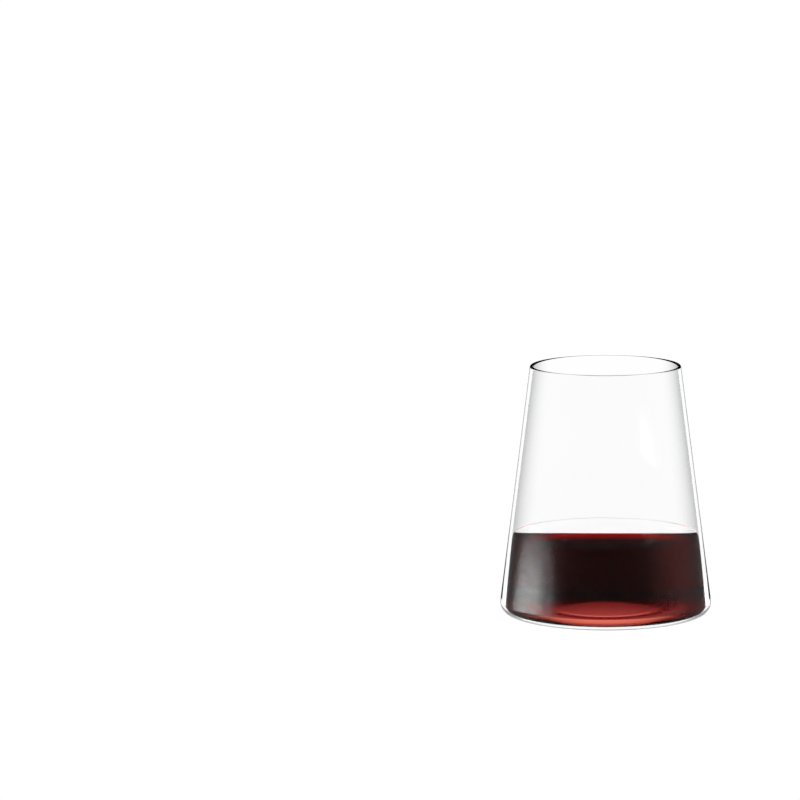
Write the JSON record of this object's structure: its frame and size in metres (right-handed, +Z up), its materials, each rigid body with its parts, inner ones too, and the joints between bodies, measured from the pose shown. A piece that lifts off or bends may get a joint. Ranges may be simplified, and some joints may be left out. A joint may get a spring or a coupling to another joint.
{
  "type": "stemless wine glass",
  "caption": "Stemless wine glass that tapers from a wide rounded foot to a narrower rim, with a domed floor and a pour of red wine as a separate solid.",
  "frame": {"origin": "middle of the foot ring, on the surface that the glass stands on", "axes": "+Z up along the glass's axis towards the rim; the glass is round, so +X and +Y are free"},
  "size_m": [0.096, 0.096, 0.114],
  "materials": {
    "clear_glass": "clear, colourless and polished, with a rounded rim",
    "red_wine": "deep red liquid, near black where it is thick"
  },
  "bodies": {
    "root": {"glass": "clear_glass", "wine": "red_wine"}
  },
  "joints": []
}
